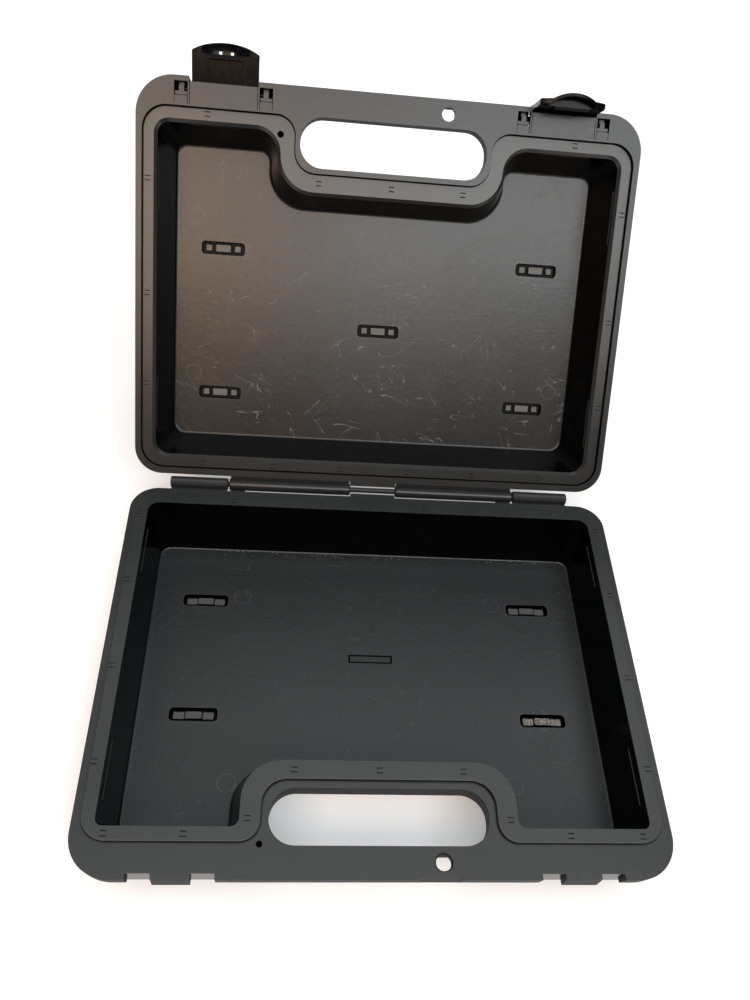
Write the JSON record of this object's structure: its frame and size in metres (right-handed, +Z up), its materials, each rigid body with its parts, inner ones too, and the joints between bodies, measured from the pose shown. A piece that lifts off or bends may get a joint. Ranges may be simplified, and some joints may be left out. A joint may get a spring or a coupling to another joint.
{
  "type": "hard equipment case",
  "caption": "Two-shell plastic carrying case with a hinged lid, snap latches, a moulded handle slot and a padlock hole.",
  "frame": {"origin": "centre of the middle foot of the base, on the plane the case rests on", "axes": "+X to the right, +Y towards the hinge and the opened lid, +Z up"},
  "size_m": [0.275, 0.3771, 0.22],
  "materials": {
    "shell_black": "fine spark-eroded texture",
    "clip_grey": "moulded",
    "latch_black": "smooth satin",
    "pin_black": "blackened"
  },
  "bodies": {
    "base": {"base_shell": "shell_black", "hinge_pin": "pin_black", "middle_blank_plug": "clip_grey", "base_clip_front_left": "clip_grey", "base_clip_front_right": "clip_grey", "base_clip_back_left": "clip_grey", "base_clip_back_right": "clip_grey"},
    "lid": {"lid_shell": "shell_black", "lid_clip_front_left": "clip_grey", "lid_clip_front_right": "clip_grey", "lid_clip_back_left": "clip_grey", "lid_clip_back_right": "clip_grey", "lid_clip_middle": "clip_grey"},
    "left_latch": {"latch_left": "latch_black"},
    "right_latch": {"latch_right": "latch_black"}
  },
  "joints": [
    {"name": "lid_hinge", "type": "hinge", "parent": "base", "child": "lid", "pos_m": [0, 0.09435, 0.03705], "axis": [1, 0, 0], "range_deg": [0, 129.5]},
    {"name": "left_latch_hinge", "type": "hinge", "parent": "lid", "child": "left_latch", "pos_m": [-0.092, 0.23334, 0.19677], "axis": [1, 0, 0], "range_deg": [-10, 80]},
    {"name": "right_latch_hinge", "type": "hinge", "parent": "lid", "child": "right_latch", "pos_m": [0.092, 0.23334, 0.19677], "axis": [1, 0, 0], "range_deg": [-90, 0]}
  ]
}
